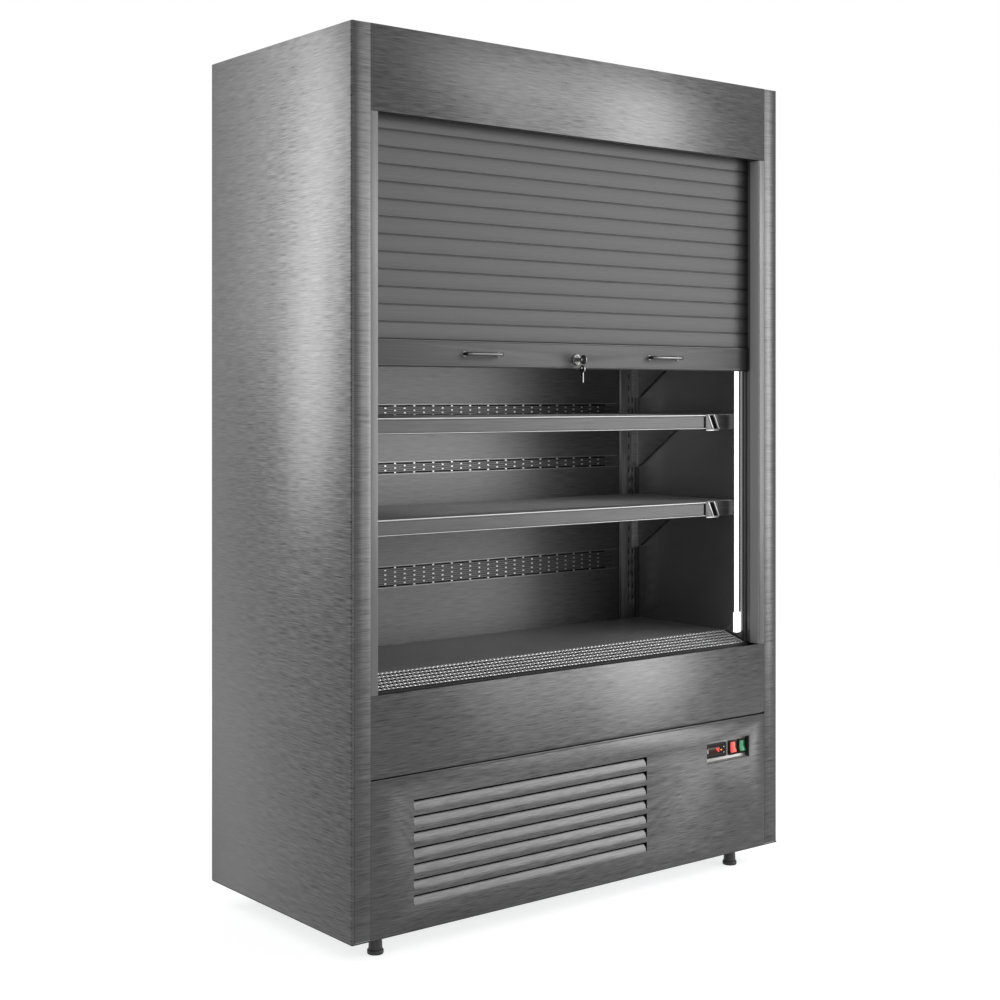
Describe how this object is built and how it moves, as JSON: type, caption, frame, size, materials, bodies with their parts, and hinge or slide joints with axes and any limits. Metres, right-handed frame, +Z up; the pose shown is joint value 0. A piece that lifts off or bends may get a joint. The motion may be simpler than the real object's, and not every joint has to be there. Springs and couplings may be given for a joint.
{
  "type": "open multideck display fridge",
  "caption": "Tall stainless open-front display fridge with shelves, a half-lowered slatted shutter, front air grille, louvred base panel and levelling feet.",
  "frame": {"origin": "on the floor under the middle of the cabinet", "axes": "+Z up, the open front faces -Y, +X is the viewer's right when facing the front"},
  "size_m": [1.3, 0.6, 1.98],
  "materials": {
    "stainless_grey": "satin",
    "slat_aluminium": "satin",
    "guide_aluminium": "satin",
    "liner_stainless": "satin",
    "shelf_stainless": "satin",
    "galvanised_sheet": "matte",
    "rigid_foam": "matte",
    "chrome": "polished",
    "black_rubber": "matte",
    "black_plastic": "satin",
    "black_gloss_plastic": "gloss",
    "grey_plastic": "satin",
    "white_plastic": "satin",
    "lamp_diffuser": "satin",
    "black_painted_steel": "gloss",
    "coil_aluminium": "satin",
    "copper_tube": "satin",
    "key_steel": "satin",
    "red_rocker": "gloss",
    "green_rocker": "gloss"
  },
  "bodies": {
    "cabinet": {"base_pan": "galvanised_sheet", "levelling_feet": "black_rubber", "left_side_panel": "stainless_grey", "right_side_panel": "stainless_grey", "front_posts": "stainless_grey", "side_liners": "liner_stainless", "insulation_panels": "rigid_foam", "back_panel": "galvanised_sheet", "roof_panel": "stainless_grey", "header_fascia": "stainless_grey", "apron_panel": "stainless_grey", "kick_panel": "stainless_grey", "barrel_housing": "galvanised_sheet", "ceiling_panel": "liner_stainless", "air_honeycomb": "white_plastic", "rear_duct_panel": "liner_stainless", "shelf_uprights": "liner_stainless", "base_deck": "liner_stainless", "air_grille": "shelf_stainless", "shelf_1": "shelf_stainless", "shelf_2": "shelf_stainless", "shelf_3": "shelf_stainless", "shelf_4": "shelf_stainless", "ticket_rails": "shelf_stainless", "shelf_brackets": "shelf_stainless", "led_tubes": "lamp_diffuser", "led_sockets": "white_plastic", "left_guide_rail": "guide_aluminium", "right_guide_rail": "guide_aluminium", "evaporator_coil": "coil_aluminium", "evaporator_fan_plate": "galvanised_sheet", "compressor": "black_painted_steel", "condenser_coil": "coil_aluminium", "condenser_fan_motor": "black_painted_steel", "condensate_tray": "galvanised_sheet", "electrical_box": "grey_plastic", "refrigerant_pipes": "copper_tube", "control_recess": "liner_stainless", "thermostat": "black_plastic", "rocker_housings": "black_gloss_plastic", "barrel_brackets": "galvanised_sheet", "barrel_shaft": "galvanised_sheet"},
    "shutter_curtain": {"shutter_slats": "slat_aluminium"},
    "shutter_bar": {"bottom_bar": "slat_aluminium", "bar_seal": "black_rubber", "bar_handles": "chrome", "lock_body": "chrome"},
    "shutter_barrel": {"barrel_tube": "galvanised_sheet", "coiled_slats": "slat_aluminium"},
    "lock": {"lock_plug": "chrome", "lock_cam": "key_steel", "lock_key": "key_steel"},
    "hanging_key": {"spare_key": "key_steel"},
    "power_switch": {"power_rocker": "red_rocker"},
    "light_switch": {"light_rocker": "green_rocker"},
    "up_button": {"thermostat_up_button": "black_gloss_plastic"},
    "down_button": {"thermostat_down_button": "black_gloss_plastic"},
    "condenser_wheel": {"condenser_fan": "black_plastic"},
    "left_fan_wheel": {"left_evaporator_fan": "black_plastic"},
    "right_fan_wheel": {"right_evaporator_fan": "black_plastic"}
  },
  "joints": [
    {"name": "shutter_lower", "type": "slide", "parent": "cabinet", "child": "shutter_curtain", "axis": [0, 0, 1], "range_m": [-0.693, 0]},
    {"name": "shutter_raise", "type": "slide", "parent": "shutter_curtain", "child": "shutter_bar", "axis": [0, 0, 1], "range_m": [0, 0.47], "deforming": ["shutter_slats"]},
    {"name": "barrel_turn", "type": "hinge", "parent": "cabinet", "child": "shutter_barrel", "pos_m": [0, -0.192, 1.887], "axis": [1, 0, 0], "range_deg": [0, 663.1]},
    {"name": "lock_turn", "type": "hinge", "parent": "shutter_bar", "child": "lock", "pos_m": [0, -0.268, 1.282], "axis": [0, 1, 0], "range_deg": [0, 90]},
    {"name": "spare_key_swing", "type": "hinge", "parent": "lock", "child": "hanging_key", "pos_m": [0, -0.285, 1.2801], "axis": [1, 0, 0], "range_deg": [-5, 10]},
    {"name": "power_press", "type": "hinge", "parent": "cabinet", "child": "power_switch", "pos_m": [0.4995, -0.2848, 0.31375], "axis": [1, 0, 0], "range_deg": [0, 20]},
    {"name": "light_press", "type": "hinge", "parent": "cabinet", "child": "light_switch", "pos_m": [0.532, -0.2848, 0.31375], "axis": [1, 0, 0], "range_deg": [0, 20]},
    {"name": "up_press", "type": "slide", "parent": "cabinet", "child": "up_button", "axis": [0, 1, 0], "range_m": [0, 0.0008], "stiffness_N_per_m": 500},
    {"name": "down_press", "type": "slide", "parent": "cabinet", "child": "down_button", "axis": [0, 1, 0], "range_m": [0, 0.0008], "stiffness_N_per_m": 500},
    {"name": "condenser_fan_spin", "type": "hinge", "parent": "cabinet", "child": "condenser_wheel", "pos_m": [-0.305, -0.187, 0.2035], "axis": [0, 1, 0], "continuous": true},
    {"name": "left_fan_spin", "type": "hinge", "parent": "cabinet", "child": "left_fan_wheel", "pos_m": [-0.22, -0.13, 0.512], "axis": [0, 1, 0], "continuous": true},
    {"name": "right_fan_spin", "type": "hinge", "parent": "cabinet", "child": "right_fan_wheel", "pos_m": [0.22, -0.13, 0.512], "axis": [0, 1, 0], "continuous": true}
  ],
  "couplings": [
    {"joint": "barrel_turn", "follows": "shutter_lower", "rad_per_m": -16.7}
  ]
}
